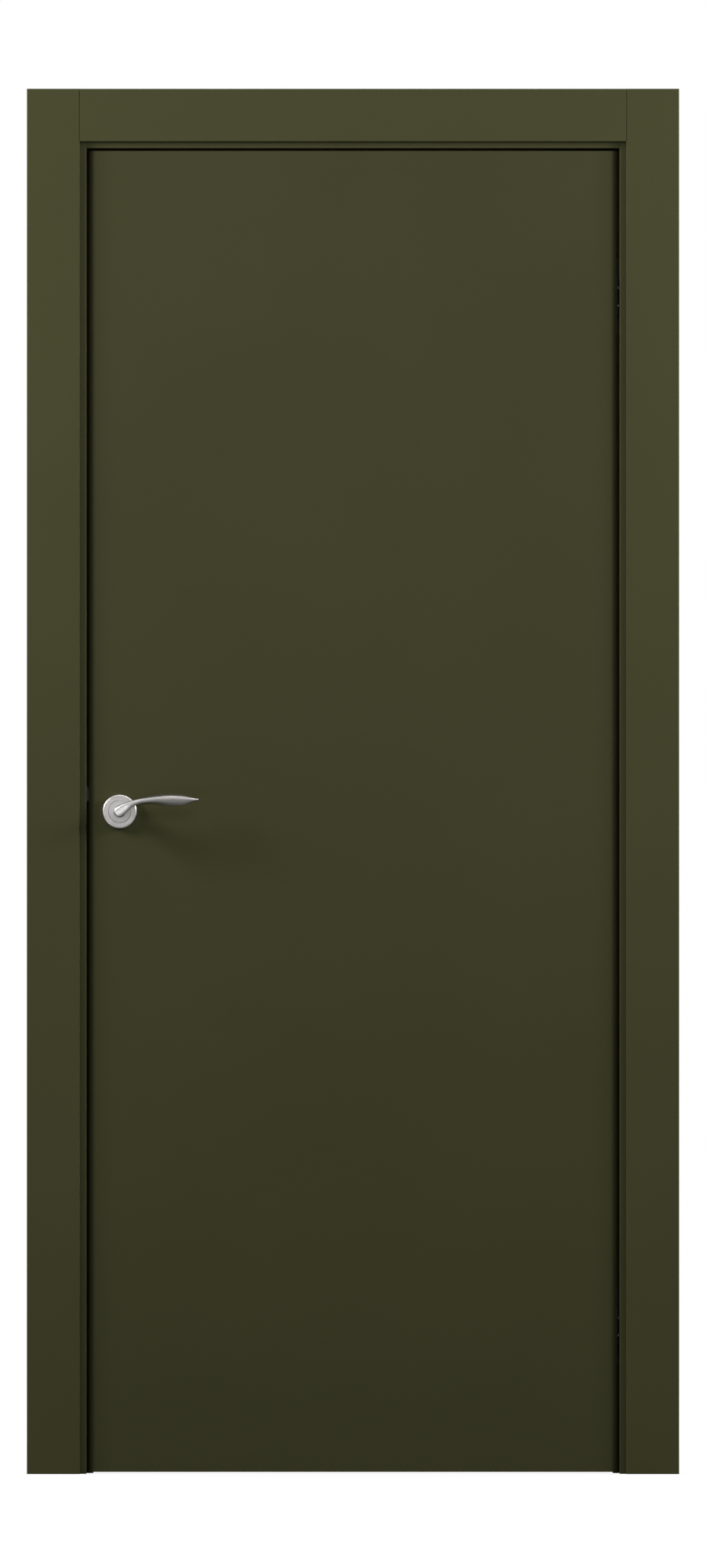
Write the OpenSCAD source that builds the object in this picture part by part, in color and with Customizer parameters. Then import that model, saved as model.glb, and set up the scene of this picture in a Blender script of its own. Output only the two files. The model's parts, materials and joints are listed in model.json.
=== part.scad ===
// Flush interior door set: rebated frame, flat casings, hollow-core leaf, latch, lever pair, hidden hinges.
// Millimetres, +Z up. Origin: floor level, middle of the doorway, middle of the leaf's thickness.
// -Y is the side that the leaf opens toward.

/* [Part to draw] */
// Sub-part to draw alone

/* [Leaf] */
// Leaf width
leaf_w = 800; // [600:50:900]
// Leaf height
leaf_h = 2000; // [1900:50:2100]
// Leaf thickness
leaf_t = 40; // [38:1:44]
// Radius of the leaf's long edges
edge_r = 10; // [6:0.5:11]
// Thickness of each facing sheet
skin_t = 6; // [5:0.5:8]
// Width of the two stiles
stile_w = 52; // [46:1:70]
// Height of the two rails
rail_h = 60; // [40:5:120]
// Height of the block that the latch is let into
block_h = 320; // [260:10:400]
// Width of the block that the latch is let into
block_w = 70; // [55:5:100]
// Bore of the tubes in the core
tube_d = 21; // [16:1:24]

/* [Frame] */
// Gap between leaf and jamb at each side
gap_side = 3.5; // [3:0.1:4]
// Gap between leaf and head
gap_top = 4; // [3:0.5:6]
// Gap between leaf and floor
gap_floor = 3; // [3:0.5:10]
// Gap between leaf and stop, filled by the seal
gap_stop = 4; // [3:0.1:5]
// Jamb thickness, measured outward from the rebate
jamb_t = 37; // [36:1:45]
// Jamb depth through the wall
jamb_d = 75; // [72:1:120]
// How far the stop stands in from the rebate
stop_w = 10; // [8:0.5:12]
// Radius of the small rounded edges
arris_r = 1.5; // [0.5:0.1:2]

/* [Casings] */
// Casing width
casing_w = 80; // [60:1:100]
// Casing thickness
casing_t = 10; // [8:0.5:14]
// Jamb edge left showing beside the casing
reveal = 10; // [6:0.5:14]
// Tongue thickness
tongue_t = 6; // [4:0.5:7]
// Tongue length
tongue_l = 10; // [6:0.5:12]

/* [Lever handle] */
// Spindle centre from the leaf's edge
backset = 47; // [45:1:60]
// Spindle height above the leaf's bottom
handle_z = 1000; // [900:10:1100]
// Rose diameter
rose_d = 52; // [50:1:60]
// Rose thickness
rose_t = 9; // [8:0.5:12]
// Lever length from the spindle to the tip
lever_l = 120; // [105:1:140]
// Neck diameter
neck_d = 17; // [16:0.5:18]
// Distance of the grip's middle from the leaf
lever_out = 51; // [45:1:58]
// Spindle width across flats
spindle_w = 8; // [7:1:8]

/* [Latch] */
// Case thickness
case_t = 16; // [15:0.5:18]
// Bolt travel
throw = 12; // [10:0.5:12]
// Bolt thickness
bolt_t = 11; // [9:0.5:12]
// Bolt height
bolt_h = 20; // [16:1:22]

/* [Hidden hinges] */
// Upper hinge centre below the leaf's top
hinge_top = 220; // [180:10:300]
// Lower hinge centre above the leaf's bottom
hinge_low = 220; // [180:10:300]
// Height of each hinge body
hinge_h = 116; // [112:1:130]
// Width of each hinge body
hinge_w = 28; // [28:0.5:30]

/* [Hidden] */
$fn = 48;
fit = 0.06;

lx = leaf_w / 2;
ly = leaf_t / 2;
leaf_z0 = gap_floor;
leaf_z1 = gap_floor + leaf_h;
core_y = ly - skin_t;

jx = lx + gap_side;
jox = jx + jamb_t;
jy0 = -ly;
jy1 = jy0 + jamb_d;
stop_y = ly + gap_stop;
head_z = leaf_z1 + gap_top;
head_oz = head_z + jamb_t;
tongue_edge = 8;
tongue_off = jamb_t - tongue_edge - tongue_t;
tongue_play = 0.25;

casing_in = jx + reveal;
casing_out = casing_in + casing_w;
casing_top = head_z + reveal + casing_w;

hx = -lx + backset;
hz = leaf_z0 + handle_z;
rose_r = rose_d / 2;
rose_wall = 1.2;
rose_plate = 1.6;
rose_rim = 3.4;
rose_dish = 0.5;
rose_ring = 0.65 * rose_r;
ring_w = 0.9;
ring_deep = 0.6;
rose_floor = 3;
neck_r = neck_d / 2;
bush_r = neck_r + 3;
spindle_grip = 30;

face_t = 3;
face_w = 20;
face_h = 150;
case_x0 = -lx + face_t;
case_behind = 28;
case_below = 26;
case_above = 41;
case_x1 = hx + case_behind;
case_wall = 1.4;
case_y = case_t / 2;
case_z0 = hz - case_below;
case_z1 = hz + case_above;
case_zm = (case_z0 + case_z1) / 2;
bolt_up = 26;
bolt_z = hz + bolt_up;
tail_h = 6;
tail_t = 4;
ear_r = 21;
ear_w = 6;
hook_play = 1.4;
hook_x = hx + ear_w / 2 + hook_play;
hook_w = 6;
guide_x = hx - 12;
hub_r = 9;

strike_t = 2;
strike_w = 24;
strike_h = 90;
strike_lip = 5;
strike_lip_h = 44;
cup_wall = 1.5;
cup_d = throw - gap_side + 4;

hinge_x = lx + gap_side / 2;
hinge_y = -ly;
hinge_v0 = (leaf_t - hinge_w) / 2;
hinge_d = 20;
hinge_wall = 1.5;
hinge_zs = [leaf_z0 + hinge_low, leaf_z1 - hinge_top];
rib_z0 = 12;
rib_z1 = 15;
bay_z = 27;
arm_play = 0.4;
pin_r = 1.9;
pivot = [4, 12];
cross = [0, 24];
elbow = [-4.5, 28.5];
guide = [-16, 29.6];
swing_max = 105;
eye_r = 3.2;
web_w = 4.4;
slide_r = norm(pivot);
slide_a = atan2(pivot.y, pivot.x);

paint = [0.26, 0.26, 0.17];
board = [0.72, 0.60, 0.45];
timber = [0.80, 0.68, 0.50];
nickel = [0.74, 0.73, 0.71];
steel = [0.60, 0.61, 0.62];
zamak = [0.50, 0.51, 0.53];
rubber = [0.08, 0.08, 0.07];
nylon = [0.12, 0.12, 0.12];

// Plain solids and profiles

module box(x0, x1, y0, y1, z0, z1) {
    translate([x0, y0, z0])
        cube([x1 - x0, y1 - y0, z1 - z0]);
}

module rect(x0, x1, y0, y1) {
    translate([x0, y0])
        square([x1 - x0, y1 - y0]);
}

// Takes a square corner down to a radius; sx and sy point from the corner into the material
module arris(x, y, sx, sy, r) {
    translate([x + sx * r, y + sy * r])
        difference() {
            translate([sx > 0 ? -r - 1 : 0, sy > 0 ? -r - 1 : 0])
                square(r + 1);
            circle(r);
        }
}

module rounded_rect(x0, x1, y0, y1, r) {
    difference() {
        rect(x0, x1, y0, y1);
        arris(x0, y0, 1, 1, r);
        arris(x1, y0, -1, 1, r);
        arris(x0, y1, 1, -1, r);
        arris(x1, y1, -1, -1, r);
    }
}

// A profile drawn as (z, y) and run along X
module along_x(x0, x1) {
    translate([(x0 + x1) / 2, 0, 0])
        rotate([0, -90, 0])
            linear_extrude(height = x1 - x0, center = true)
                children();
}

module upright(z0, z1) {
    translate([0, 0, z0])
        linear_extrude(height = z1 - z0)
            children();
}

// Countersunk screw whose head lies in the plane z = 0 and whose shank runs down
module screw(d, l) {
    difference() {
        screw_hole(d, l);
        translate([0, 0, -d * 0.2])
            cube([d * 1.1, d * 0.25, d * 0.42], center = true);
        translate([0, 0, -d * 0.2])
            cube([d * 0.25, d * 1.1, d * 0.42], center = true);
    }
}

module screw_hole(d, l) {
    translate([0, 0, -d * 0.5])
        cylinder(h = d * 0.5, r1 = d / 2, r2 = d * 0.95);
    translate([0, 0, -l + d])
        cylinder(h = l - d * 1.5, d = d);
    translate([0, 0, -l])
        cylinder(h = d, r1 = d * 0.1, r2 = d / 2);
}

// Frame

module jamb_profile() {
    difference() {
        union() {
            rect(jx, jox, jy0, jy1);
            rect(jx - stop_w, jx + 1, stop_y, jy1);
        }
        arris(jx, jy0, 1, 1, arris_r);
        arris(jx - stop_w, stop_y, 1, 1, arris_r);
        arris(jx - stop_w, jy1, 1, -1, arris_r);
        tongue_slot(jx);
        seal_slot(jx - stop_w / 2);
    }
}

module tongue_slot(face) {
    slot_x = face + tongue_off - tongue_play;
    slot_w = tongue_t + 2 * tongue_play;
    rect(slot_x, slot_x + slot_w, jy0 - 1, jy0 + tongue_l + 1);
    rect(slot_x, slot_x + slot_w, jy1 - tongue_l - 1, jy1 + 1);
}

seal_stem = 3;
seal_deep = 6;

module seal_slot(mid) {
    rect(mid - seal_stem / 2, mid + seal_stem / 2, stop_y - 1, stop_y + seal_deep);
}

module seal_profile(mid) {
    bead = (gap_stop - 0.4) / 2;
    rect(mid - seal_stem / 2, mid + seal_stem / 2, stop_y - bead, stop_y + seal_deep - 0.5);
    rect(mid - 3, mid + 3, stop_y - 0.8, stop_y);
    translate([mid, stop_y - bead])
        circle(bead);
}

frame_screw_d = 5;
frame_screw_l = 75;
frame_screw_in = 14;

module at_frame_screws(side) {
    for (y = [jy0 + tongue_l + frame_screw_in, jy1 - tongue_l - frame_screw_in])
        translate([side * jox, y, (head_z + head_oz) / 2])
            rotate([0, side * 90, 0])
                children();
}

module jamb_left() {
    color(paint)
        difference() {
            mirror([1, 0, 0])
                upright(0, head_oz)
                    jamb_profile();
            at_frame_screws(-1)
                screw_hole(frame_screw_d, frame_screw_l);
            strike_plate_blank();
            strike_cup_blank();
            at_strike_screws()
                screw_hole(strike_screw_d, strike_screw_l);
        }
}

module jamb_right() {
    color(paint)
        difference() {
            upright(0, head_oz)
                jamb_profile();
            at_frame_screws(1)
                screw_hole(frame_screw_d, frame_screw_l);
            at_hinges()
                hinge_blank();
            at_hinges()
                hinge_screw_holes();
        }
}

module jamb_head() {
    color(paint)
        difference() {
            union() {
                along_x(-jx, jx)
                    difference() {
                        rect(head_z, head_oz, jy0, stop_y);
                        arris(head_z, jy0, 1, 1, arris_r);
                        tongue_slot(head_z);
                    }
                along_x(-jx + stop_w, jx - stop_w)
                    difference() {
                        rect(head_z - stop_w, head_oz, stop_y, jy1);
                        arris(head_z - stop_w, stop_y, 1, 1, arris_r);
                        arris(head_z - stop_w, jy1, 1, -1, arris_r);
                        tongue_slot(head_z);
                        seal_slot(head_z - stop_w / 2);
                    }
            }
            at_frame_screws(-1)
                screw_hole(frame_screw_d, frame_screw_l);
            at_frame_screws(1)
                screw_hole(frame_screw_d, frame_screw_l);
        }
}

module frame_screws() {
    color(steel) {
        at_frame_screws(-1)
            screw(frame_screw_d, frame_screw_l);
        at_frame_screws(1)
            screw(frame_screw_d, frame_screw_l);
    }
}

// Casings, drawn on the front and mirrored to the back

module casing_board(from, to) {
    difference() {
        rect(from, to, jy0 - casing_t, jy0);
        arris(from, jy0 - casing_t, 1, 1, arris_r);
        arris(to, jy0 - casing_t, -1, 1, arris_r);
    }
}

module casing_side() {
    upright(0, casing_top)
        casing_board(casing_in, casing_out);
    upright(0, head_oz)
        rect(jx + tongue_off, jx + tongue_off + tongue_t, jy0 - 1, jy0 + tongue_l);
}

module casing_head() {
    along_x(-casing_in, casing_in)
        casing_board(head_z + reveal, casing_top);
    along_x(-jx, jx)
        rect(head_z + tongue_off, head_z + tongue_off + tongue_t, jy0 - 1, jy0 + tongue_l);
}

module to_rear() {
    translate([0, jy0 + jy1, 0])
        mirror([0, 1, 0])
            children();
}

module casing_front_left() {
    color(paint)
        mirror([1, 0, 0])
            casing_side();
}

module casing_front_right() {
    color(paint)
        casing_side();
}

module casing_front_head() {
    color(paint)
        casing_head();
}

module casing_rear_left() {
    color(paint)
        to_rear()
            mirror([1, 0, 0])
                casing_side();
}

module casing_rear_right() {
    color(paint)
        to_rear()
            casing_side();
}

module casing_rear_head() {
    color(paint)
        to_rear()
            along_x(-casing_in, casing_in)
                casing_board(head_z + reveal, casing_top);
    color(paint)
        to_rear()
            along_x(-jx + stop_w, jx - stop_w)
                rect(head_z + tongue_off, head_z + tongue_off + tongue_t, jy0 - 1, jy0 + tongue_l);
}

// Seals

module seal_left() {
    color(rubber)
        mirror([1, 0, 0])
            upright(0, head_z - stop_w)
                seal_profile(jx - stop_w / 2);
}

module seal_right() {
    color(rubber)
        upright(0, head_z - stop_w)
            seal_profile(jx - stop_w / 2);
}

module seal_head() {
    color(rubber)
        along_x(-jx + stop_w, jx - stop_w)
            seal_profile(head_z - stop_w / 2);
}

// Strike

strike_screw_d = 4;
strike_screw_l = 24;

module strike_plate_blank() {
    along_x(-jx - strike_t, -jx) {
        rounded_rect(bolt_z - strike_h / 2, bolt_z + strike_h / 2, -strike_w / 2, strike_w / 2, 4);
        rounded_rect(bolt_z - strike_lip_h / 2, bolt_z + strike_lip_h / 2, -strike_w / 2 - strike_lip, 0, 4);
    }
}

module strike_cup_blank() {
    half_h = bolt_h / 2 + 3 + cup_wall;
    half_w = bolt_t / 2 + 1.5 + cup_wall;
    box(-jx - strike_t - cup_d, -jx - strike_t, -half_w, half_w, bolt_z - half_h, bolt_z + half_h);
}

module at_strike_screws() {
    for (s = [-1, 1])
        translate([-jx, 0, bolt_z + s * (strike_h / 2 - 11)])
            rotate([0, 90, 0])
                children();
}

module strike_plate() {
    color(nickel)
        difference() {
            strike_plate_blank();
            box(-jx - 5, -jx + 5, -bolt_t / 2 - 1.5, bolt_t / 2 + 1.5,
                bolt_z - bolt_h / 2 - 3, bolt_z + bolt_h / 2 + 3);
            at_strike_screws()
                screw_hole(strike_screw_d, strike_screw_l);
        }
}

module strike_cup() {
    color(nylon)
        difference() {
            strike_cup_blank();
            box(-jx - strike_t - cup_d + cup_wall, -jx, -bolt_t / 2 - 1.5, bolt_t / 2 + 1.5,
                bolt_z - bolt_h / 2 - 3, bolt_z + bolt_h / 2 + 3);
        }
}

module strike_screws() {
    color(nickel)
        at_strike_screws()
            screw(strike_screw_d, strike_screw_l);
}

// Leaf

// A board of the leaf, cut to the leaf's rounded plan
module leaf_board(x0, x1, y0, y1) {
    upright(leaf_z0, leaf_z1)
        intersection() {
            rounded_rect(-lx, lx, -ly, ly, edge_r);
            rect(x0, x1, y0, y1);
        }
}

module skin() {
    difference() {
        leaf_board(-lx, lx, -ly, -core_y);
        spindle_bore();
        at_front_handle()
            at_rose_screws()
                screw_hole(rose_screw_d, rose_screw_l);
    }
}

module leaf_skin_front() {
    color(paint)
        skin();
}

module leaf_skin_rear() {
    color(paint)
        mirror([0, 1, 0])
            skin();
}

module spindle_bore() {
    translate([hx, 0, hz])
        rotate([90, 0, 0])
            cylinder(h = leaf_t + 2, r = hub_r - 1, center = true);
}

module rose_screw_bores() {
    at_front_handle()
        at_rose_screws()
            screw_hole(rose_screw_d, rose_screw_l);
    at_rear_handle()
        at_rose_screws()
            screw_hole(rose_screw_d, rose_screw_l);
}

module latch_mortise() {
    latch_face_blank();
    box(case_x0 - 1, case_x1, -case_y, case_y, case_z0, case_z1);
    spindle_bore();
    rose_screw_bores();
    at_latch_screws()
        screw_hole(latch_screw_d, latch_screw_l);
}

module leaf_stile_latch() {
    color(timber)
        difference() {
            leaf_board(-lx, -lx + stile_w, -core_y, core_y);
            latch_mortise();
        }
}

module leaf_stile_hinge() {
    color(timber)
        difference() {
            leaf_board(lx - stile_w, lx, -core_y, core_y);
            at_hinges()
                mirror([1, 0, 0])
                    hinge_blank();
            at_hinges()
                mirror([1, 0, 0])
                    hinge_screw_holes();
        }
}

module leaf_rail_top() {
    color(timber)
        box(-lx + stile_w, lx - stile_w, -core_y, core_y, leaf_z1 - rail_h, leaf_z1);
}

module leaf_rail_bottom() {
    color(timber)
        box(-lx + stile_w, lx - stile_w, -core_y, core_y, leaf_z0, leaf_z0 + rail_h);
}

module lock_block_blank() {
    box(-lx + stile_w, -lx + stile_w + block_w, -core_y, core_y, hz - block_h / 2, hz + block_h / 2);
}

module leaf_lock_block() {
    color(timber)
        difference() {
            lock_block_blank();
            latch_mortise();
        }
}

module leaf_core() {
    core_x = lx - stile_w;
    pitch = tube_d + 5;
    tubes = floor((2 * core_x - 5) / pitch);
    color(board)
        difference() {
            box(-core_x, core_x, -core_y, core_y, leaf_z0 + rail_h, leaf_z1 - rail_h);
            lock_block_blank();
            for (i = [0:tubes - 1])
                translate([(i - (tubes - 1) / 2) * pitch, 0, leaf_z0])
                    cylinder(h = leaf_h, d = tube_d);
        }
}

// Latch

latch_screw_d = 4;
latch_screw_l = 26;

module latch_face_blank() {
    along_x(-lx, -lx + face_t)
        rounded_rect(case_zm - face_h / 2, case_zm + face_h / 2, -face_w / 2, face_w / 2, 4);
}

module at_latch_screws() {
    for (s = [-1, 1])
        translate([-lx, 0, case_zm + s * (face_h / 2 - 12)])
            rotate([0, -90, 0])
                children();
}

module bolt_window(play) {
    box(-lx - 5, case_x0 + 5, -bolt_t / 2 - play, bolt_t / 2 + play,
        bolt_z - bolt_h / 2 - play, bolt_z + bolt_h / 2 + play);
}

module hub_bore() {
    translate([hx, 0, hz])
        rotate([90, 0, 0])
            cylinder(h = case_t + 2, r = hub_r + fit, center = true);
}

module latch_face() {
    color(nickel)
        difference() {
            intersection() {
                latch_face_blank();
                leaf_board(-lx, lx, -ly, ly);
            }
            bolt_window(0.3);
            at_latch_screws()
                screw_hole(latch_screw_d, latch_screw_l);
        }
}

module latch_case() {
    color(zamak)
        difference() {
            union() {
                difference() {
                    box(case_x0, case_x1, -case_y + case_wall, case_y, case_z0, case_z1);
                    box(case_x0 + case_wall, case_x1 - case_wall, -case_y, case_y - case_wall,
                        case_z0 + case_wall, case_z1 - case_wall);
                }
                box(guide_x - 3, guide_x, -case_y + case_wall, case_y - 1,
                    bolt_z - bolt_h / 2, case_z1 - 1);
            }
            box(guide_x - 4, guide_x + 1, -tail_t / 2 - 0.3, tail_t / 2 + 0.3,
                bolt_z - tail_h / 2 - 0.3, bolt_z + tail_h / 2 + 0.3);
            bolt_window(0.3);
            hub_bore();
        }
}

module latch_cover() {
    color(steel)
        difference() {
            box(case_x0, case_x1, -case_y, -case_y + case_wall, case_z0, case_z1);
            hub_bore();
        }
}

module latch_screws() {
    color(nickel)
        at_latch_screws()
            screw(latch_screw_d, latch_screw_l);
}

bolt_back = case_x0 + 10;

module latch_bolt() {
    color(nylon) {
        translate([0, 0, bolt_z - bolt_h / 2])
            linear_extrude(height = bolt_h)
                polygon([
                    [bolt_back, -bolt_t / 2],
                    [-lx - throw, -bolt_t / 2],
                    [-lx - throw, -bolt_t / 2 + 2.5],
                    [-lx - 1, bolt_t / 2],
                    [bolt_back, bolt_t / 2]
                ]);
        box(bolt_back - 1, hook_x + hook_w, -tail_t / 2, tail_t / 2, bolt_z - tail_h / 2, bolt_z + tail_h / 2);
        box(hook_x, hook_x + hook_w, -tail_t / 2, tail_t / 2, hz + 11, bolt_z);
    }
}

spring_r = 5;
spring_wire = 0.9;
spring_turns = 6;
spring_x0 = bolt_back + spring_wire / 2;
spring_x1 = guide_x - 3 - spring_wire / 2;

// One ring of the coil: a small circle carried round the tail
function coil_ring(s, sides) = [
    for (i = [0:sides - 1])
        let (
            turn = 360 * spring_turns * s,
            a = 360 * i / sides,
            r = spring_r + spring_wire / 2 * cos(a)
        )
        [spring_x0 + (spring_x1 - spring_x0) * s + spring_wire / 2 * sin(a), r * cos(turn), bolt_z + r * sin(turn)]
];

module latch_spring() {
    color(steel)
        loft([for (k = [0:72]) coil_ring(k / 72, 6)]);
}

module latch_follower() {
    color(zamak)
        difference() {
            translate([hx, 0, hz])
                union() {
                    rotate([90, 0, 0])
                        cylinder(h = case_t, r = hub_r, center = true);
                    for (s = [0, 1])
                        mirror([0, 0, s])
                            box(-ear_w / 2, ear_w / 2, -2.5, 2.5, 0, ear_r);
                }
            box(hx - spindle_w / 2, hx + spindle_w / 2, -case_t, case_t, hz - spindle_w / 2, hz + spindle_w / 2);
        }
}

// Lever handle, drawn with x right, y up and z outward from the leaf's face

module at_front_handle() {
    translate([hx, -ly, hz])
        rotate([90, 0, 0])
            children();
}

module at_rear_handle() {
    mirror([0, 1, 0])
        at_front_handle()
            children();
}

rose_screw_d = 3.5;
rose_screw_l = 13;

module at_rose_screws() {
    for (a = [45:90:315])
        rotate([0, 0, a])
            translate([rose_r - 7.5, 0, rose_floor])
                children();
}

module rose_base() {
    lid = rose_t - rose_plate;
    difference() {
        cylinder(h = lid, r = rose_r - rose_wall);
        translate([0, 0, rose_floor])
            difference() {
                cylinder(h = lid, r = rose_r - rose_wall - 2);
                cylinder(h = lid, r = bush_r + 2);
            }
        translate([0, 0, -1])
            cylinder(h = lid + 2, r = bush_r);
        at_rose_screws()
            screw_hole(rose_screw_d, rose_screw_l);
    }
}

module rose_cover() {
    face = rose_t - rose_dish;
    rotate_extrude($fn = 96)
        difference() {
            rect(neck_r + 0.4, rose_r, 0, rose_t);
            rect(0, rose_r - rose_wall, -1, rose_t - rose_plate);
            arris(rose_r, rose_t, -1, -1, rose_rim - 1);
            rect(0, rose_r - rose_rim, face, rose_t + 1);
            arris(rose_r - rose_rim, rose_t, 1, -1, rose_dish);
            polygon([[rose_ring - ring_w / 2, face], [rose_ring, face - ring_deep], [rose_ring + ring_w / 2, face]]);
        }
}

module bush() {
    rotate_extrude()
        rect(neck_r + fit, bush_r, 0.5, rose_t - rose_plate);
}

module rose_screws() {
    at_rose_screws()
        screw(rose_screw_d, rose_screw_l);
}

// Skin over a run of equal rings, closed at both ends
module loft(rings) {
    n = len(rings);
    m = len(rings[0]);
    sides = [
        for (k = [0:n - 2], i = [0:m - 1])
            let (j = (i + 1) % m)
            each [[k * m + i, k * m + j, k * m + m + j], [k * m + i, k * m + m + j, k * m + m + i]]
    ];
    first = [for (i = [m - 1:-1:0]) i];
    last = [for (i = [0:m - 1]) (n - 1) * m + i];
    polyhedron(points = [for (ring = rings) each ring], faces = concat(sides, [first, last]));
}

// Stations of the lever: x, y, depth from the grip's middle, half height, half depth, ridge, flatness of the front
lever_stations = [
    [0, -0.5, -6, 7.6, 6.6, 0, 1.4],
    [11, 7.3, -3, 5.6, 6, 0, 1.4],
    [26, 14.2, -0.6, 4.2, 5.2, 0.1, 1.2],
    [46, 17.2, 0, 6, 5.2, 0.3, 1.05],
    [76, 17.4, 0, 9.6, 5.4, 0.4, 1],
    [101, 17.1, -1, 7.4, 4.4, 0.4, 1],
    [114.5, 17.7, -2.2, 2.7, 2.6, 0.2, 1],
    [120, 18, -2.8, 0.3, 0.5, 0, 1]
];

function between(p, q, r, s, t) =
    0.5 * (2 * q + (r - p) * t + (2 * p - 5 * q + 4 * r - s) * t * t + (3 * q - p - 3 * r + s) * t * t * t);

function along_lever(u) =
    let (
        n = len(lever_stations) - 1,
        k = min(floor(u * n), n - 1),
        q = lever_stations[k],
        r = lever_stations[k + 1],
        p = k > 0 ? lever_stations[k - 1] : 2 * q - r,
        s = k < n - 1 ? lever_stations[k + 2] : 2 * r - q
    )
    between(p, q, r, s, u * n - k);

function lever_ring(u, sides) =
    let (
        c = along_lever(u),
        d = along_lever(min(u + 0.005, 1)) - along_lever(max(u - 0.005, 0)),
        run = norm([d[0], d[1]]),
        up = [-d[1] / run, d[0] / run],
        k = lever_l / 120
    )
    [
        for (i = [0:sides - 1])
            let (
                a = -360 * i / sides,
                s = sin(a),
                h = c[3] * (cos(a) + c[5] * max(s, 0) * s * s),
                out = s > 0 ? min(c[6] * s, 1) : s
            )
            [k * c[0] + up[0] * h, c[1] + up[1] * h, lever_out + c[2] + c[4] * out]
    ];

module lever() {
    neck_end = lever_out;
    difference() {
        union() {
            rotate_extrude()
                difference() {
                    rect(0, neck_r, 1, neck_end);
                    arris(neck_r, neck_end, -1, -1, 4);
                }
            loft([for (k = [0:35]) lever_ring(k / 35, 20)]);
        }
        translate([0, 0, spindle_grip / 2])
            cube([spindle_w, spindle_w, spindle_grip], center = true);
        grub_blank();
    }
}

module grub_blank() {
    translate([0, -spindle_w / 2, spindle_grip - 8])
        rotate([90, 0, 0])
            cylinder(h = neck_r - spindle_w / 2 + 0.5, r = 2.5);
}

module grub() {
    intersection() {
        difference() {
            grub_blank();
            translate([0, -neck_r, spindle_grip - 8])
                rotate([90, 0, 0])
                    cylinder(h = 4, r = 1.4, center = true, $fn = 6);
        }
        cylinder(h = lever_out, r = neck_r - 0.3);
    }
}

module front_lever() {
    color(nickel)
        at_front_handle()
            lever();
}

module rear_lever() {
    color(nickel)
        at_rear_handle()
            lever();
}

module grub_screws() {
    color(steel) {
        at_front_handle()
            grub();
        at_rear_handle()
            grub();
    }
}

module spindle() {
    half = ly + spindle_grip - 1;
    color(steel)
        box(hx - spindle_w / 2, hx + spindle_w / 2, -half, half, hz - spindle_w / 2, hz + spindle_w / 2);
}

module front_rose_base() {
    color(zamak)
        at_front_handle()
            rose_base();
}

module front_rose_cover() {
    color(nickel)
        at_front_handle()
            rose_cover();
}

module front_bush() {
    color(nylon)
        at_front_handle()
            bush();
}

module front_rose_screws() {
    color(steel)
        at_front_handle()
            rose_screws();
}

module rear_rose_base() {
    color(zamak)
        at_rear_handle()
            rose_base();
}

module rear_rose_cover() {
    color(nickel)
        at_rear_handle()
            rose_cover();
}

module rear_bush() {
    color(nylon)
        at_rear_handle()
            bush();
}

module rear_rose_screws() {
    color(steel)
        at_rear_handle()
            rose_screws();
}

// Hidden hinges, drawn about the axis that the leaf swings on: x into the jamb, y back from the front face

hinge_screw_d = 4.5;
hinge_screw_l = 38;
hinge_screw_zs = [35, 50];

module at_hinge(i) {
    translate([hinge_x, hinge_y, hinge_zs[i]])
        children();
}

module at_hinges() {
    for (i = [0, 1])
        at_hinge(i)
            children();
}

module hinge_blank() {
    along_x(gap_side / 2, gap_side / 2 + hinge_d)
        rounded_rect(-hinge_h / 2, hinge_h / 2, hinge_v0, hinge_v0 + hinge_w, 4);
}

module at_hinge_screws() {
    for (s = [-1, 1], z = hinge_screw_zs)
        translate([gap_side / 2, leaf_t / 2, s * z])
            rotate([0, -90, 0])
                children();
}

module hinge_screw_holes() {
    at_hinge_screws()
        screw_hole(hinge_screw_d, hinge_screw_l);
}

module hinge_bay(z0, z1) {
    box(gap_side / 2 - 1, gap_side / 2 + hinge_d - hinge_wall,
        hinge_v0 + hinge_wall, hinge_v0 + hinge_w - hinge_wall, z0, z1);
}

// Arc that a guide pin follows in the other half's ribs and walls
module slide_slot(z0, z1) {
    r = pin_r + 0.3;
    mid = [-guide.x + pivot.x, guide.y - pivot.y];
    translate([mid.x, mid.y, z0])
        rotate([0, 0, 180 - slide_a])
            rotate_extrude(angle = swing_max)
                translate([slide_r - r, 0])
                    square([2 * r, z1 - z0]);
    for (a = [0, swing_max])
        translate([mid.x, mid.y, z0])
            rotate([0, 0, 180 - slide_a + a])
                translate([slide_r, 0, 0])
                    cylinder(h = z1 - z0, r = r);
}

module hinge_half() {
    difference() {
        hinge_blank();
        hinge_bay(-rib_z0, rib_z0);
        for (s = [0, 1])
            mirror([0, 0, s])
                hinge_bay(rib_z1, bay_z);
        translate([cross.x, cross.y, 0])
            cylinder(h = 2 * bay_z, r = pin_r + 1, center = true);
        hinge_screw_holes();
        children();
    }
}

module frame_half() {
    hinge_half() {
        slide_slot(-rib_z1 - 1, rib_z1 + 1);
        frame_pins();
    }
}

module leaf_half() {
    mirror([1, 0, 0])
        hinge_half() {
            for (s = [0, 1])
                mirror([0, 0, s])
                    slide_slot(rib_z0 - 1, bay_z + 4);
            pivot_pin(-rib_z1, rib_z1);
        }
}

module pivot_pin(z0, z1) {
    translate([pivot.x, pivot.y, z0])
        cylinder(h = z1 - z0, r = pin_r);
}

module frame_pins() {
    for (s = [0, 1])
        mirror([0, 0, s])
            pivot_pin(rib_z0, bay_z + 5);
}

// A bent link: eyes at the pivot and the cross pin, a plain round at the elbow and the guide
module link(points, z0, z1) {
    translate([0, 0, z0])
        linear_extrude(height = z1 - z0) {
            for (i = [0:len(points) - 1])
                translate(points[i])
                    circle(i < 2 ? eye_r : pin_r + 0.5);
            for (i = [0:len(points) - 2])
                let (d = points[i + 1] - points[i])
                translate(points[i])
                    rotate(atan2(d.y, d.x))
                        translate([0, -web_w / 2])
                            square([norm(d), web_w]);
        }
}

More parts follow.
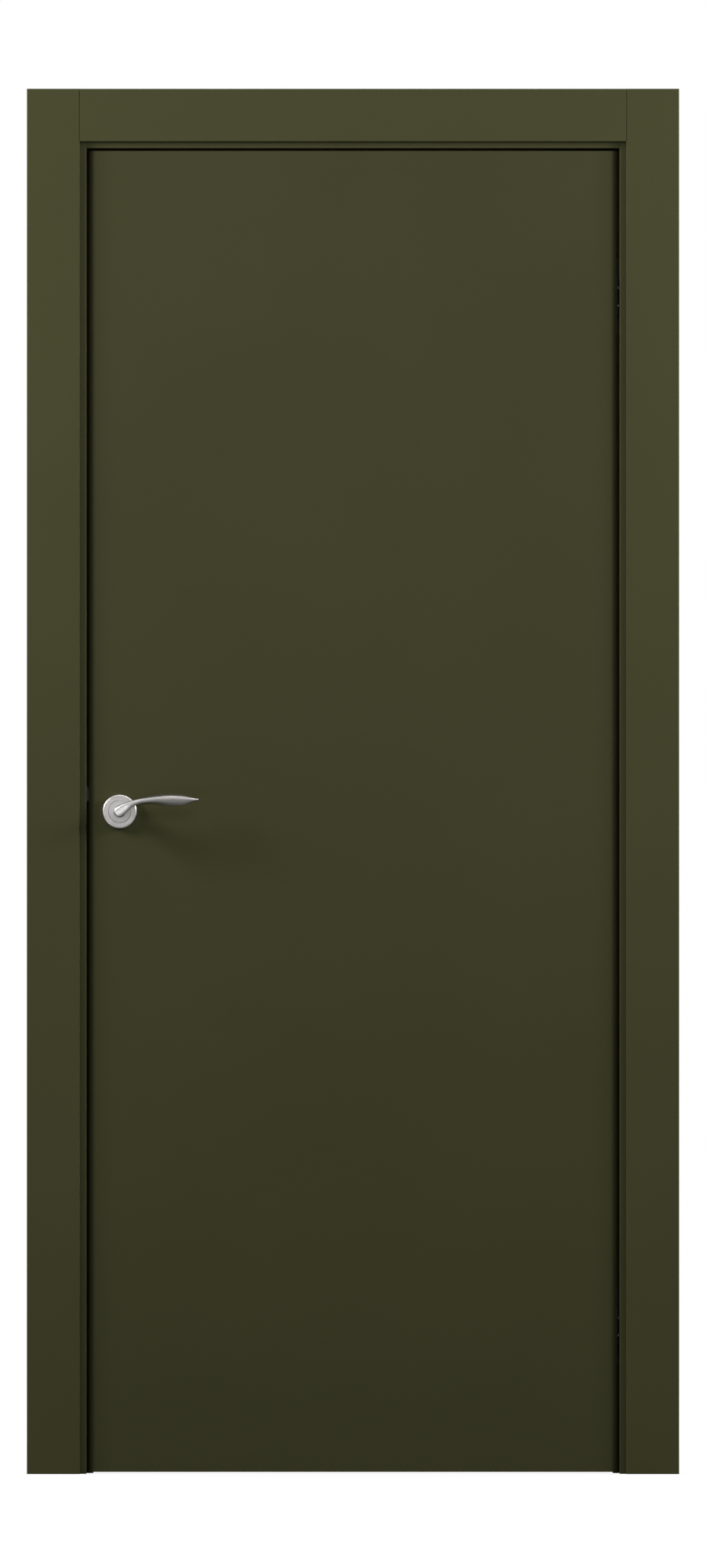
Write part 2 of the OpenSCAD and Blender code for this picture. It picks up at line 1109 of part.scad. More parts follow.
module arm(z0, z1) {
    difference() {
        link([pivot, cross, elbow, guide], z0 + arm_play, z1 - arm_play);
        translate([pivot.x, pivot.y, z0])
            cylinder(h = z1 - z0, r = pin_r + fit);
        children();
    }
}

module guide_pin(z0, z1) {
    translate([guide.x, guide.y, z0])
        cylinder(h = z1 - z0, r = pin_r);
}

module frame_arm() {
    for (s = [0, 1])
        mirror([0, 0, s]) {
            arm(rib_z1, bay_z)
                cross_pin();
            guide_pin(rib_z0 + 0.5, bay_z + 3);
        }
}

module leaf_arm() {
    mirror([1, 0, 0]) {
        arm(-rib_z0, rib_z0)
            translate([cross.x, cross.y, -rib_z0])
                cylinder(h = 2 * rib_z0, r = pin_r + fit);
        guide_pin(-rib_z1 + 0.5, rib_z1 - 0.5);
    }
}

module cross_pin() {
    translate([cross.x, cross.y, -bay_z + arm_play])
        cylinder(h = 2 * (bay_z - arm_play), r = pin_r);
}

module hinge_low_frame_body() {
    color(zamak)
        at_hinge(0)
            frame_half();
}

module hinge_low_leaf_body() {
    color(zamak)
        intersection() {
            at_hinge(0)
                leaf_half();
            leaf_board(0, lx, -ly, ly);
        }
}

module hinge_low_frame_arm() {
    color(steel)
        at_hinge(0)
            frame_arm();
}

module hinge_low_leaf_arm() {
    color(steel)
        at_hinge(0)
            leaf_arm();
}

module hinge_top_frame_body() {
    color(zamak)
        at_hinge(1)
            frame_half();
}

module hinge_top_leaf_body() {
    color(zamak)
        intersection() {
            at_hinge(1)
                leaf_half();
            leaf_board(0, lx, -ly, ly);
        }
}

module hinge_top_frame_arm() {
    color(steel)
        at_hinge(1)
            frame_arm();
}

module hinge_top_leaf_arm() {
    color(steel)
        at_hinge(1)
            leaf_arm();
}

module hinge_frame_pins() {
    color(steel)
        at_hinges()
            frame_pins();
}

module hinge_leaf_pins() {
    color(steel)
        at_hinges()
            mirror([1, 0, 0])
                pivot_pin(-rib_z1, rib_z1);
}

module hinge_low_cross_pin() {
    color(steel)
        at_hinge(0)
            cross_pin();
}

module hinge_top_cross_pin() {
    color(steel)
        at_hinge(1)
            cross_pin();
}

module hinge_frame_screws() {
    color(steel)
        at_hinges()
            at_hinge_screws()
                screw(hinge_screw_d, hinge_screw_l);
}

module hinge_leaf_screws() {
    color(steel)
        at_hinges()
            mirror([1, 0, 0])
                at_hinge_screws()
                    screw(hinge_screw_d, hinge_screw_l);
}

jamb_left();
jamb_right();
jamb_head();
frame_screws();
casing_front_left();
casing_front_right();
casing_front_head();
casing_rear_left();
casing_rear_right();
casing_rear_head();
seal_left();
seal_right();
seal_head();
strike_plate();
strike_cup();
strike_screws();
leaf_skin_front();
leaf_skin_rear();
leaf_stile_latch();
leaf_stile_hinge();
leaf_rail_top();
leaf_rail_bottom();
leaf_lock_block();
leaf_core();
latch_case();
latch_cover();
latch_face();
latch_screws();
latch_bolt();
latch_spring();
latch_follower();
spindle();
front_lever();
rear_lever();
grub_screws();
front_rose_base();
front_rose_cover();
front_bush();
front_rose_screws();
rear_rose_base();
rear_rose_cover();
rear_bush();
rear_rose_screws();
hinge_low_frame_body();
hinge_low_leaf_body();
hinge_low_frame_arm();
hinge_low_leaf_arm();
hinge_top_frame_body();
hinge_top_leaf_body();
hinge_top_frame_arm();
hinge_top_leaf_arm();
hinge_frame_pins();
hinge_leaf_pins();
hinge_low_cross_pin();
hinge_top_cross_pin();
hinge_frame_screws();
hinge_leaf_screws();
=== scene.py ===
import json
import math

import bmesh
import bpy
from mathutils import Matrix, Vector


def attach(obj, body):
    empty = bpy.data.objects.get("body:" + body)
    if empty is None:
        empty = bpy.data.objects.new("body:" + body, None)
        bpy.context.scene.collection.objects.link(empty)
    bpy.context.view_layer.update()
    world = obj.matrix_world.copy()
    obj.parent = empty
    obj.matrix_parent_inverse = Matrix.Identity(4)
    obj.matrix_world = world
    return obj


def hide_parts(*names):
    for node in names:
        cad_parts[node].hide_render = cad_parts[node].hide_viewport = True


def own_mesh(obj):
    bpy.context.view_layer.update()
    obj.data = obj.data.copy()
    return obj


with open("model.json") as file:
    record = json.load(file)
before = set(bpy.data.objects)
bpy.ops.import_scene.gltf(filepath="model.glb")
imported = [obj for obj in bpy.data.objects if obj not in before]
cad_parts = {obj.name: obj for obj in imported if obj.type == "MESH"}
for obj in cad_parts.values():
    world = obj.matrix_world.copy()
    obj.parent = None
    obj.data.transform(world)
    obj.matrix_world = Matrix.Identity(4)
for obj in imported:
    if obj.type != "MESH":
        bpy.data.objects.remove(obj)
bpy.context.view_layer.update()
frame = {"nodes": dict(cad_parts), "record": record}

nodes = frame["nodes"]
slotOfNode = {part["node"]: part["material_slot"] for part in frame["record"]["subparts"]}
print("frame loaded:", len(nodes), "nodes")


# materials

def newMaterial(name):
    mat = bpy.data.materials.new(name)
    mat.use_nodes = True
    return mat, mat.node_tree, mat.node_tree.nodes["Principled BSDF"]


def objectSpace(tree, stretch=(1, 1, 1)):
    place = tree.nodes.new("ShaderNodeTexCoord")
    mapping = tree.nodes.new("ShaderNodeMapping")
    mapping.inputs["Scale"].default_value = stretch
    tree.links.new(place.outputs["Object"], mapping.inputs["Vector"])
    return mapping.outputs["Vector"]


def noise(tree, space, scale, detail=3, rough=0.5, warp=0.0):
    node = tree.nodes.new("ShaderNodeTexNoise")
    node.inputs["Scale"].default_value = scale
    node.inputs["Detail"].default_value = detail
    node.inputs["Roughness"].default_value = rough
    node.inputs["Distortion"].default_value = warp
    tree.links.new(space, node.inputs["Vector"])
    return node.outputs["Fac"]


def ramp(tree, value, stops):
    node = tree.nodes.new("ShaderNodeValToRGB")
    marks = node.color_ramp.elements
    while len(marks) < len(stops):
        marks.new(0.5)
    for mark, (place, colour) in zip(marks, stops):
        mark.position = place
        mark.color = (*colour, 1)
    tree.links.new(value, node.inputs["Fac"])
    return node.outputs["Color"]


def span(tree, value, low, high, fromLow=0.3, fromHigh=0.7):
    node = tree.nodes.new("ShaderNodeMapRange")
    for key, number in (("From Min", fromLow), ("From Max", fromHigh), ("To Min", low), ("To Max", high)):
        node.inputs[key].default_value = number
    tree.links.new(value, node.inputs["Value"])
    return node.outputs["Result"]


def calc(tree, operation, first, second=None, number=0.0):
    node = tree.nodes.new("ShaderNodeMath")
    node.operation = operation
    tree.links.new(first, node.inputs[0])
    if second is None:
        node.inputs[1].default_value = number
    else:
        tree.links.new(second, node.inputs[1])
    return node.outputs["Value"]


def weigh(tree, first, second, share):
    kept = calc(tree, "MULTIPLY", first, number=1 - share)
    added = calc(tree, "MULTIPLY", second, number=share)
    return calc(tree, "ADD", kept, added)


def blendColour(tree, factor, first, second):
    node = tree.nodes.new("ShaderNodeMix")
    node.data_type = "RGBA"
    ends = {socket.name: socket for socket in node.inputs if socket.type == "RGBA"}
    tree.links.new(factor, node.inputs["Factor"])
    tree.links.new(first, ends["A"])
    tree.links.new(second, ends["B"])
    return [socket for socket in node.outputs if socket.type == "RGBA"][0]


def shadeRange(tree, value, look, places=(0.3, 0.7)):
    return ramp(tree, value, [(places[0], look["dark"]), (places[1], look["light"])])


def bump(tree, shader, height, strength, distance):
    node = tree.nodes.new("ShaderNodeBump")
    node.inputs["Strength"].default_value = strength
    node.inputs["Distance"].default_value = distance
    tree.links.new(height, node.inputs["Height"])
    tree.links.new(node.outputs["Normal"], shader.inputs["Normal"])


lacquerLook = {
    "frame": {"dark": (0.0440, 0.0440, 0.0180), "light": (0.0480, 0.0480, 0.0200)},
    "leaf": {"dark": (0.0392, 0.0390, 0.0162), "light": (0.0428, 0.0425, 0.0180)},   # painted shade: the frame's lacquer made a shade darker, for the dimmer light on the leaf
    "cloudScale": 2.6,
    "fineScale": 240,
    "fineShare": 0.3,
    "places": (0.35, 0.65),
    "specular": 0.06,
    "roughness": (0.50, 0.60),
    "peelScale": 620,     # about 1.6 mm, the spray's fine orange peel
    "peelStrength": 0.25,
    "peelDepth": 0.00005,
}


def lacquerColour(tree, shade):
    cloud = noise(tree, objectSpace(tree), lacquerLook["cloudScale"], 4)
    fine = noise(tree, objectSpace(tree), lacquerLook["fineScale"], 2)
    mixed = weigh(tree, cloud, fine, lacquerLook["fineShare"])
    return shadeRange(tree, mixed, lacquerLook[shade], lacquerLook["places"])


def oliveLacquer(name, shade):
    mat, tree, shader = newMaterial(name)
    tree.links.new(lacquerColour(tree, shade), shader.inputs["Base Color"])
    peel = noise(tree, objectSpace(tree), lacquerLook["peelScale"], 2)
    tree.links.new(span(tree, peel, *lacquerLook["roughness"]), shader.inputs["Roughness"])
    shader.inputs["Specular IOR Level"].default_value = lacquerLook["specular"]
    bump(tree, shader, peel, lacquerLook["peelStrength"], lacquerLook["peelDepth"])
    return mat


nickelLook = {
    "dark": (0.436, 0.427, 0.416),
    "light": (0.482, 0.473, 0.461),
    "roughness": (0.28, 0.34),
    "cloudScale": 60,
    "brushing": (60, 900, 900),   # long marks along the lever
    "markStrength": 0.05,
    "markDepth": 0.00002,
}


def satinNickel():
    mat, tree, shader = newMaterial("satinNickel")
    marks = noise(tree, objectSpace(tree, nickelLook["brushing"]), 1, 3)
    cloud = noise(tree, objectSpace(tree), nickelLook["cloudScale"], 2)
    tree.links.new(shadeRange(tree, cloud, nickelLook), shader.inputs["Base Color"])
    shader.inputs["Metallic"].default_value = 1.0
    tree.links.new(span(tree, marks, *nickelLook["roughness"]), shader.inputs["Roughness"])
    bump(tree, shader, marks, nickelLook["markStrength"], nickelLook["markDepth"])
    return mat


metalLooks = {
    "plainSteel": {"dark": (0.29, 0.30, 0.31), "light": (0.37, 0.38, 0.39), "roughness": (0.30, 0.46),
                   "grain": 420, "depth": 0.00003},
    "zincCasting": {"dark": (0.18, 0.185, 0.20), "light": (0.24, 0.25, 0.265), "roughness": (0.42, 0.58),
                    "grain": 900, "depth": 0.00006},
    "stainScale": 45,
    "grainStrength": 0.2,
}


def workingMetal(name):
    look = metalLooks[name]
    mat, tree, shader = newMaterial(name)
    grain = noise(tree, objectSpace(tree), look["grain"], 3)
    stain = noise(tree, objectSpace(tree), metalLooks["stainScale"], 3)
    tree.links.new(shadeRange(tree, stain, look), shader.inputs["Base Color"])
    shader.inputs["Metallic"].default_value = 1.0
    tree.links.new(span(tree, grain, *look["roughness"]), shader.inputs["Roughness"])
    bump(tree, shader, grain, metalLooks["grainStrength"], look["depth"])
    return mat


darkLooks = {
    "sealRubber": {"dark": (0.016, 0.016, 0.010), "light": (0.022, 0.022, 0.014), "roughness": (0.55, 0.7),
                   "grain": 700, "depth": 0.00005},
    "blackNylon": {"dark": (0.011, 0.011, 0.011), "light": (0.018, 0.018, 0.018), "roughness": (0.38, 0.5),
                   "grain": 1100, "depth": 0.00004},
    "cloudScale": 30,
    "specular": 0.3,
    "grainStrength": 0.3,
}


def darkMoulding(name):
    look = darkLooks[name]
    mat, tree, shader = newMaterial(name)
    grain = noise(tree, objectSpace(tree), look["grain"], 2)
    cloud = noise(tree, objectSpace(tree), darkLooks["cloudScale"], 2)
    tree.links.new(shadeRange(tree, cloud, look), shader.inputs["Base Color"])
    tree.links.new(span(tree, grain, *look["roughness"]), shader.inputs["Roughness"])
    shader.inputs["Specular IOR Level"].default_value = darkLooks["specular"]
    bump(tree, shader, grain, darkLooks["grainStrength"], look["depth"])
    return mat


pineLook = {
    "late": (0.40, 0.245, 0.115),
    "early": (0.60, 0.43, 0.235),
    "places": (0.36, 0.58, 0.66),
    "stretch": {"z": (1, 1, 0.045), "x": (0.045, 1, 1)},
    "ringScale": 150,
    "fibreScale": 900,
    "fibreShare": 0.2,
    "specular": 0.15,
    "roughness": (0.5, 0.62),
    "fibreStrength": 0.15,
    "fibreDepth": 0.00005,
    # the leaf's outer edges are lacquered
    "lacquerPast": {"side": 0.3986, "top": 2.0022, "bottom": 0.0038},
}


def paintedPine(name, along):
    mat, tree, shader = newMaterial(name)
    stretch = pineLook["stretch"][along]
    rings = noise(tree, objectSpace(tree, stretch), pineLook["ringScale"], 4, 0.6, 0.6)
    fibre = noise(tree, objectSpace(tree, stretch), pineLook["fibreScale"], 2)
    bands = [pineLook["early"], pineLook["late"], pineLook["early"]]
    wood = ramp(tree, weigh(tree, rings, fibre, pineLook["fibreShare"]), list(zip(pineLook["places"], bands)))
    split = tree.nodes.new("ShaderNodeSeparateXYZ")
    tree.links.new(objectSpace(tree), split.inputs["Vector"])
    past = pineLook["lacquerPast"]
    side = calc(tree, "GREATER_THAN", calc(tree, "ABSOLUTE", split.outputs["X"]), number=past["side"])
    top = calc(tree, "GREATER_THAN", split.outputs["Z"], number=past["top"])
    bottom = calc(tree, "LESS_THAN", split.outputs["Z"], number=past["bottom"])
    outside = calc(tree, "MAXIMUM", side, calc(tree, "MAXIMUM", top, bottom))
    # the lacquered edges take the leaf's darker lacquer, which is painted shade
    tree.links.new(blendColour(tree, outside, wood, lacquerColour(tree, "leaf")), shader.inputs["Base Color"])
    tree.links.new(span(tree, fibre, *pineLook["roughness"]), shader.inputs["Roughness"])
    shader.inputs["Specular IOR Level"].default_value = pineLook["specular"]
    bump(tree, shader, fibre, pineLook["fibreStrength"], pineLook["fibreDepth"])
    return mat


boardLook = {
    "flakes": [(0.25, (0.30, 0.19, 0.09)), (0.5, (0.46, 0.32, 0.17)), (0.75, (0.58, 0.43, 0.25))],
    "flakeScale": 320,
    "stretch": (1, 1, 0.35),
    "specular": 0.2,
    "roughness": (0.65, 0.85),
    "flakeStrength": 0.3,
    "flakeDepth": 0.0002,
}


def tubeBoard():
    mat, tree, shader = newMaterial("tubeBoard")
    cells = tree.nodes.new("ShaderNodeTexVoronoi")
    cells.inputs["Scale"].default_value = boardLook["flakeScale"]
    tree.links.new(objectSpace(tree, boardLook["stretch"]), cells.inputs["Vector"])
    flake = tree.nodes.new("ShaderNodeSeparateColor")
    tree.links.new(cells.outputs["Color"], flake.inputs["Color"])
    tree.links.new(ramp(tree, flake.outputs["Red"], boardLook["flakes"]), shader.inputs["Base Color"])
    rough = span(tree, flake.outputs["Green"], *boardLook["roughness"], 0, 1)
    tree.links.new(rough, shader.inputs["Roughness"])
    shader.inputs["Specular IOR Level"].default_value = boardLook["specular"]
    bump(tree, shader, flake.outputs["Blue"], boardLook["flakeStrength"], boardLook["flakeDepth"])
    return mat


finishes = {
    "olive_lacquer": oliveLacquer("oliveFrame", "frame"),
    "satin_nickel": satinNickel(),
    "plain_steel": workingMetal("plainSteel"),
    "zinc_casting": workingMetal("zincCasting"),
    "seal_rubber": darkMoulding("sealRubber"),
    "black_nylon": darkMoulding("blackNylon"),
    "pine": paintedPine("pineUpright", "z"),
    "tube_board": tubeBoard(),
}
# the leaf's skins get the frame's lacquer made a shade darker: painted shade
leafFinishes = {"leaf_rail": paintedPine("pineAcross", "x"), "leaf_skin": oliveLacquer("oliveLeafPaintedShade", "leaf")}

for name, node in nodes.items():
    finish = leafFinishes.get(name[:9], finishes[slotOfNode[name]])
    for slot in node.material_slots:
        slot.material = finish
print("finishes on the frame, the leaf and the fittings")


# modelling

def clearSelection():
    if bpy.context.mode != "OBJECT":
        bpy.ops.object.mode_set(mode="OBJECT")
    bpy.ops.object.select_all(action="DESELECT")


def pickVerts(obj, test):
    mesh = bmesh.from_edit_mesh(obj.data)
    bpy.ops.mesh.select_mode(type="VERT")
    bpy.ops.mesh.select_all(action="DESELECT")
    for vert in mesh.verts:
        vert.select = test(vert.co)
    mesh.select_flush_mode()
    bmesh.update_edit_mesh(obj.data)


def settle(obj, name):
    clearSelection()
    obj.select_set(True)
    bpy.context.view_layer.objects.active = obj
    bpy.ops.object.transform_apply(location=True, rotation=True, scale=True)
    obj.name = obj.data.name = name


def shadeRound(angle=math.radians(40)):
    bpy.ops.object.shade_smooth_by_angle(angle=angle)


def applyModifier(obj, kind, **values):
    modifier = obj.modifiers.new(kind.lower(), kind)
    for key, value in values.items():
        setattr(modifier, key, value)
    bpy.context.view_layer.objects.active = obj
    bpy.ops.object.modifier_apply(modifier=modifier.name)


leverLook = {
    "axis": (-0.353, 1.003),      # x and z of the handle's spindle
    "face": 0.020,                # the leaf's face, from its middle
    "neckRadius": 0.0085,
    "neckFrom": 0.0012,           # out from the leaf's face
    "neckTo": 0.0425,
    "neckEdge": 0.0025,
    "neckSides": 64,
    # along, up, out, half height, half depth, slope in degrees, share of the ridge
    "rings": [
        (-0.0063, -0.0051, 0.0462, 0.0018, 0.0026, 37, 0.0),
        (-0.0059, -0.0047, 0.0455, 0.0041, 0.0043, 37, 0.0),
        (-0.0043, -0.0036, 0.0449, 0.0062, 0.0055, 37, 0.0),
        (-0.0015, -0.0016, 0.0450, 0.0075, 0.0060, 37, 0.0),
        (0.0020, 0.0009, 0.0457, 0.0078, 0.0062, 37, 0.0),
        (0.0056, 0.0034, 0.0465, 0.0074, 0.0063, 37, 0.0),
        (0.0100, 0.0066, 0.0476, 0.0063, 0.0063, 36, 0.0),
        (0.0145, 0.0096, 0.0488, 0.0052, 0.0061, 32, 0.1),
        (0.0205, 0.0124, 0.0495, 0.0045, 0.0059, 25, 0.2),
        (0.0300, 0.0154, 0.0497, 0.0045, 0.0058, 13, 0.5),
        (0.0443, 0.0169, 0.0498, 0.0059, 0.0061, 4, 0.8),
        (0.0562, 0.0174, 0.0498, 0.0077, 0.0065, 1, 1.0),
        (0.0740, 0.0174, 0.0498, 0.0099, 0.0067, 0, 1.0),
        (0.0880, 0.0172, 0.0496, 0.0097, 0.0063, 0, 1.0),
        (0.0980, 0.0170, 0.0492, 0.0085, 0.0055, 0, 1.0),
        (0.1070, 0.0172, 0.0487, 0.0060, 0.0043, 1, 1.0),
        (0.1150, 0.0179, 0.0482, 0.0027, 0.0026, 3, 0.8),
        (0.1194, 0.0181, 0.0480, 0.0007, 0.0010, 3, 0.5),
    ],
    # sections as shares of the half height and half depth, from the top edge over the front
    "flat": [(1.0, 0.1), (0.99, 0.62), (0.92, 0.92), (0.45, 0.99),
             (0.0, 1.0), (-0.45, 0.99), (-0.92, 0.92), (-0.99, 0.62),
             (-1.0, 0.1), (-0.92, -0.4), (-0.7, -0.75), (-0.38, -0.95),
             (0.0, -1.0), (0.38, -0.95), (0.7, -0.75), (0.92, -0.4)],
    "ridged": [(1.0, -0.15), (0.88, 0.35), (0.76, 0.70), (0.60, 1.0),
               (0.27, 1.0), (-0.05, 0.97), (-0.38, 0.60), (-0.72, 0.02),
               (-1.0, -0.45), (-0.9, -0.78), (-0.62, -0.95), (-0.25, -1.0),
               (0.1, -1.0), (0.45, -0.96), (0.75, -0.8), (0.95, -0.5)],
    "ridgePoint": 3,
    "creaseFrom": 0.3,            # share of the ridge where its line begins
    "crease": 0.55,
    "levels": 3,
    "startRadius": 0.001,
    "near": 1e-6,
}


def ringPoints(ring):
    along, up, out, high, deep, turn, share = ring
    axisX, axisZ = leverLook["axis"]
    place = Vector((axisX + along, -leverLook["face"] - out, axisZ + up))
    slope = math.radians(turn)
    upWay = Vector((-math.sin(slope), 0, math.cos(slope)))
    points = []
    for (flatUp, flatOut), (ridgeUp, ridgeOut) in zip(leverLook["flat"], leverLook["ridged"]):
        shareUp = flatUp + (ridgeUp - flatUp) * share
        shareOut = flatOut + (ridgeOut - flatOut) * share
        points.append(place + upWay * (high * shareUp) - Vector((0, deep * shareOut, 0)))
    return place, points


def buildLever():
    look = leverLook
    axisX, axisZ = look["axis"]
    sides = len(look["flat"])
    clearSelection()
    # the arm: a closed ring, carried from station to station
    lastPlace = ringPoints(look["rings"][0])[0]
    bpy.ops.mesh.primitive_circle_add(vertices=sides, radius=look["startRadius"], fill_type="NGON",
                                      location=lastPlace, rotation=(0, math.pi / 2, 0))
    lever = bpy.context.object
    bpy.ops.object.transform_apply(location=True, rotation=True, scale=True)
    bpy.ops.object.mode_set(mode="EDIT")
    creaseLine = []
    for number, ring in enumerate(look["rings"]):
        place, points = ringPoints(ring)
        if number > 0:
            bpy.ops.mesh.extrude_region_move(TRANSFORM_OT_translate={"value": place - lastPlace})
        mesh = bmesh.from_edit_mesh(lever.data)
        cap = [face for face in mesh.faces if face.select][0]
        starts = [vert.co.copy() for vert in cap.verts]
        if number == 0:
            # the point nearest the top starts the count, the next one in front follows
            first = max(range(sides), key=lambda k: starts[k].z)
            step = 1 if starts[(first + 1) % sides].y < starts[first].y else -1
            order = [(first + step * k) % sides for k in range(sides)]
        for k in range(sides):
            start = starts[order[k]]
            pickVerts(lever, lambda co: (co - start).length < look["near"])
            bpy.ops.transform.translate(value=points[k] - start)
        if ring[-1] > look["creaseFrom"]:
            creaseLine.append(points[look["ridgePoint"]])
        pickVerts(lever, lambda co: any((co - point).length < look["near"] for point in points))
        lastPlace = place
    # crisp line along the grip
    pickVerts(lever, lambda co: any((co - point).length < look["near"] for point in creaseLine))
    bpy.ops.transform.edge_crease(value=look["crease"])
    bpy.ops.mesh.select_all(action="SELECT")
    bpy.ops.mesh.normals_make_consistent(inside=False)
    bpy.ops.object.mode_set(mode="OBJECT")
    applyModifier(lever, "SUBSURF", levels=look["levels"], render_levels=look["levels"])
    bpy.ops.object.shade_smooth()

    # the neck, from the rose into the arm
    length = look["neckTo"] - look["neckFrom"]
    clearSelection()
    bpy.ops.mesh.primitive_cylinder_add(
        vertices=look["neckSides"], radius=look["neckRadius"], depth=length, rotation=(math.pi / 2, 0, 0),
        location=(axisX, -look["face"] - look["neckFrom"] - length / 2, axisZ))
    neck = bpy.context.object
    bpy.ops.object.transform_apply(location=True, rotation=True, scale=True)
    bpy.ops.object.mode_set(mode="EDIT")
    pickVerts(neck, lambda co: co.y < -look["face"] - look["neckTo"] + 1e-5)
    bpy.ops.mesh.bevel(offset=look["neckEdge"], segments=5, affect="EDGES")
    bpy.ops.object.mode_set(mode="OBJECT")
    shadeRound()
    lever.select_set(True)
    bpy.context.view_layer.objects.active = lever
    bpy.ops.object.join()
    settle(lever, "frontLever")
    return lever


def mirrorToBack(piece, name):
    clearSelection()
    piece.select_set(True)
    bpy.context.view_layer.objects.active = piece
    bpy.ops.object.duplicate()
    copy = bpy.context.object
    bpy.ops.object.mode_set(mode="EDIT")
    bpy.ops.mesh.select_all(action="SELECT")
    bpy.ops.transform.resize(value=(1, -1, 1), center_override=(0, 0, 0))
    bpy.ops.mesh.normals_make_consistent(inside=False)
    settle(copy, name)
    return copy


def finishPiece(piece, body, slotName, *replaced):
    piece.data.materials.clear()
    piece.data.materials.append(finishes[slotName])
    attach(piece, body)
    if replaced:
        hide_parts(*replaced)


frontLever = buildLever()
rearLever = mirrorToBack(frontLever, "rearLever")
finishPiece(frontLever, "handle", "satin_nickel", "front_lever")
finishPiece(rearLever, "handle", "satin_nickel", "rear_lever")
print("levers modelled")

springLook = {
    "from": -0.38655,      # the bolt's shoulder
    "to": -0.36845,        # the guide in the case
    "axis": (0, 1.029),
    "radius": 0.005,
    "wire": 0.00045,
    "sides": 12,
    "turns": 6,
    "steps": 36,
    "drawn": 0.36,         # share of its length that is left with the bolt drawn back
}


def buildSpring():
    look = springLook
    clearSelection()
    # the wire's section, beside the coil's axis
    bpy.ops.mesh.primitive_circle_add(vertices=look["sides"], radius=look["wire"],
                                      location=(look["from"], *look["axis"]))
    spring = bpy.context.object
    bpy.ops.object.mode_set(mode="EDIT")
    bpy.ops.mesh.select_all(action="SELECT")
    bpy.ops.transform.translate(value=(0, look["radius"], 0))
    bpy.ops.object.mode_set(mode="OBJECT")
    applyModifier(spring, "SCREW", axis="X", angle=2 * math.pi, iterations=look["turns"], steps=look["steps"],
                  render_steps=look["steps"], screw_offset=(look["to"] - look["from"]) / look["turns"])
    bpy.ops.object.mode_set(mode="EDIT")
    bpy.ops.mesh.select_all(action="SELECT")
    bpy.ops.mesh.fill_holes(sides=0)
    bpy.ops.mesh.normals_make_consistent(inside=False)
    bpy.ops.object.mode_set(mode="OBJECT")
    shadeRound()
    settle(spring, "latchSpring")
    return spring


latchSpring = buildSpring()
finishPiece(latchSpring, "leaf", "plain_steel", "latch_spring")
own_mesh(latchSpring)
print("latch spring modelled")


# studio

studio = {
    "ambient": 0.12,
    "floorSize": 24,
    "floorGlow": (0.90, 1.0),       # near the door, and past its shadow
    "floorFade": (0.6, 2.2),
    "floorGrey": 0.06,
    "floorRoughness": 0.9,
    "floorInMetal": 0.26,           # how brightly the fittings mirror the floor
    "lamps": [
        {"name": "leftBox", "at": (-3.10, -1.00, 2.60), "aim": (0, 0, 2.3),
         "size": (1.0, 1.2), "power": 180},
        {"name": "rightBox", "at": (3.10, -1.00, 2.40), "aim": (0, 0, 2.0),
         "size": (1.0, 1.2), "power": 146},
        {"name": "frontFill", "at": (0.15, -3.60, 2.60), "aim": (0, 0, 1.9),
         "size": (0.8, 0.8), "power": 23},
        {"name": "leftSpark", "at": (-1.30, -2.80, 0.34), "aim": (-0.35, 0, 1.0),
         "size": (0.45, 0.45), "power": 4.8},
        {"name": "rightSpark", "at": (1.35, -2.55, 1.10), "aim": (-0.25, 0, 1.0),
         "size": (0.40, 0.40), "power": 3.5},
        {"name": "topSpark", "at": (-0.35, -2.40, 3.00), "aim": (-0.30, 0, 1.0),
         "size": (0.45, 0.45), "power": 4},
        {"name": "backLeftBox", "at": (-3.10, 1.10, 2.60), "aim": (0, 0, 2.0),
         "size": (1.0, 1.2), "power": 150},
        {"name": "backRightBox", "at": (3.10, 1.10, 2.60), "aim": (0, 0, 2.0),
         "size": (1.0, 1.2), "power": 150},
        {"name": "backFill", "at": (0.00, 4.80, 4.80), "aim": (0, 0, 2.0),
         "size": (1.0, 1.0), "power": 90},
    ],
}


def seenDirectly(tree):
    path = tree.nodes.new("ShaderNodeLightPath")
    mirror = calc(tree, "MAXIMUM", path.outputs["Is Glossy Ray"], path.outputs["Is Transmission Ray"])
    return calc(tree, "MAXIMUM", path.outputs["Is Camera Ray"], mirror)


world = bpy.data.worlds.new("studioWorld")
bpy.context.scene.world = world
world.use_nodes = True
tree = world.node_tree
ambient = tree.nodes["Background"]
ambient.inputs["Color"].default_value = (1, 1, 1, 1)
ambient.inputs["Strength"].default_value = studio["ambient"]
white = tree.nodes.new("ShaderNodeBackground")
white.inputs["Color"].default_value = (1, 1, 1, 1)
white.inputs["Strength"].default_value = 1.0
pick = tree.nodes.new("ShaderNodeMixShader")
tree.links.new(seenDirectly(tree), pick.inputs["Fac"])
tree.links.new(ambient.outputs["Background"], pick.inputs[1])
tree.links.new(white.outputs["Background"], pick.inputs[2])
tree.links.new(pick.outputs["Shader"], tree.nodes["World Output"].inputs["Surface"])

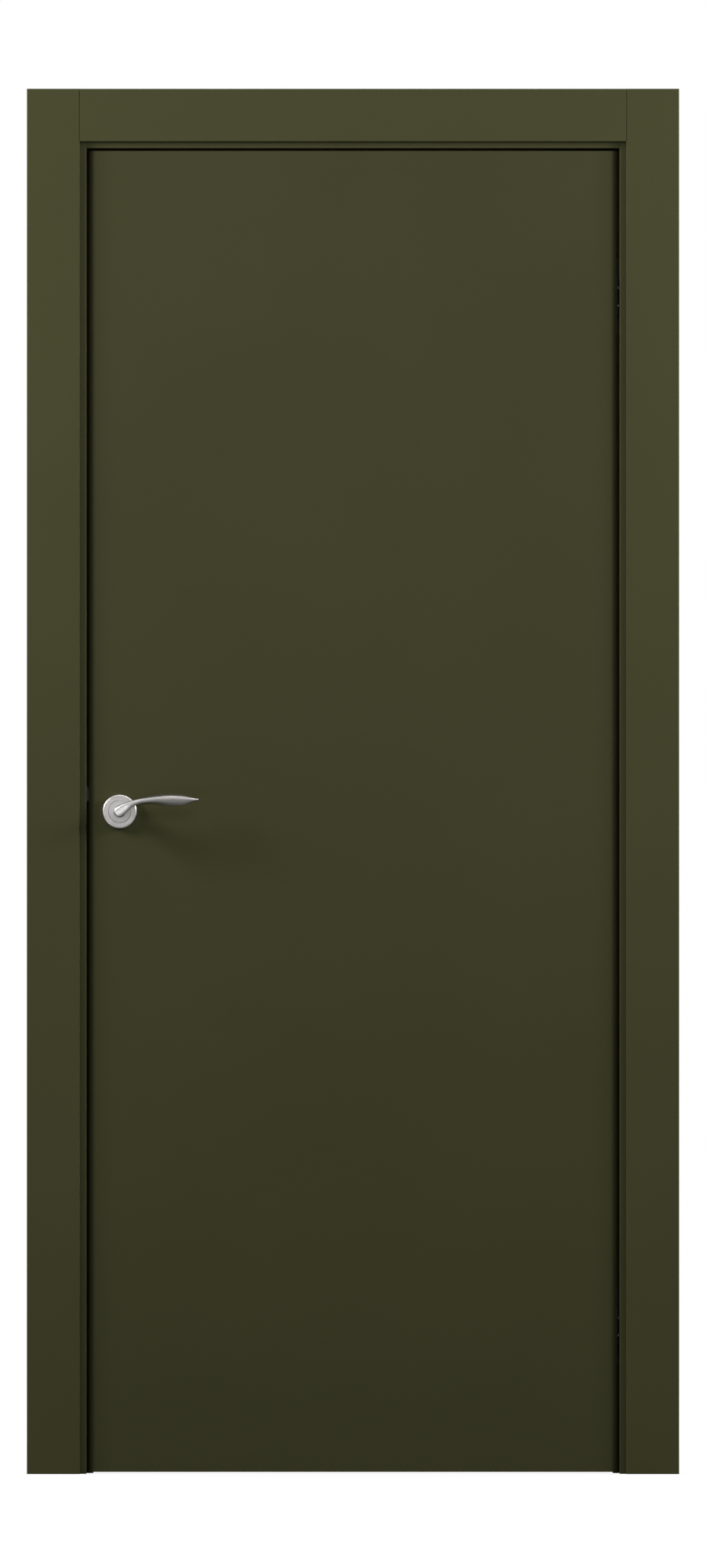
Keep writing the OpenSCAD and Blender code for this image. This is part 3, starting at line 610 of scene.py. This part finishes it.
clearSelection()
bpy.ops.mesh.primitive_plane_add(size=studio["floorSize"], location=(0, 0, 0))
floor = bpy.context.object
floor.name = "paleFloor"
floorMat, tree, shader = newMaterial("paleFloor")
shader.inputs["Base Color"].default_value = (studio["floorGrey"],) * 3 + (1,)
shader.inputs["Roughness"].default_value = studio["floorRoughness"]
shader.inputs["Specular IOR Level"].default_value = 0.0
glow = tree.nodes.new("ShaderNodeEmission")
reach = tree.nodes.new("ShaderNodeVectorMath")
reach.operation = "LENGTH"
tree.links.new(objectSpace(tree), reach.inputs[0])
glowing = span(tree, reach.outputs["Value"], *studio["floorGlow"], *studio["floorFade"])
tree.links.new(glowing, glow.inputs["Strength"])
lit = tree.nodes.new("ShaderNodeAddShader")
tree.links.new(glow.outputs["Emission"], lit.inputs[0])
tree.links.new(shader.outputs["BSDF"], lit.inputs[1])
pick = tree.nodes.new("ShaderNodeMixShader")
path = tree.nodes.new("ShaderNodeLightPath")
mirrored = calc(tree, "MULTIPLY", path.outputs["Is Glossy Ray"], number=studio["floorInMetal"])
tree.links.new(calc(tree, "MAXIMUM", path.outputs["Is Camera Ray"], mirrored), pick.inputs["Fac"])
tree.links.new(shader.outputs["BSDF"], pick.inputs[1])
tree.links.new(lit.outputs["Shader"], pick.inputs[2])
tree.links.new(pick.outputs["Shader"], tree.nodes["Material Output"].inputs["Surface"])
floor.data.materials.append(floorMat)

for lamp in studio["lamps"]:
    bpy.ops.object.light_add(type="AREA", location=lamp["at"])
    light = bpy.context.object
    light.name = lamp["name"]
    light.data.shape = "RECTANGLE"
    light.data.size, light.data.size_y = lamp["size"]
    light.data.energy = lamp["power"]
    towards = Vector(lamp["aim"]) - Vector(lamp["at"])
    light.rotation_euler = towards.to_track_quat("-Z", "Y").to_euler()
print("studio lit")

shot = {
    "distance": 36.0,
    "plane": -0.030,          # just in front of the jambs
    "height": 1.0446,
    "frameHeight": 2.3734,
    "sensor": 36.0,           # the long side of the tall picture
    "clipEnd": 1000,
}
cameraPlace = (0, shot["plane"] - shot["distance"], shot["height"])
bpy.ops.object.camera_add(location=cameraPlace, rotation=(math.pi / 2, 0, 0))
camera = bpy.context.object
camera.data.sensor_width = shot["sensor"]
camera.data.lens = shot["sensor"] * shot["distance"] / shot["frameHeight"]
camera.data.clip_end = shot["clipEnd"]
bpy.context.scene.camera = camera
bpy.context.scene.view_settings.view_transform = "Standard"
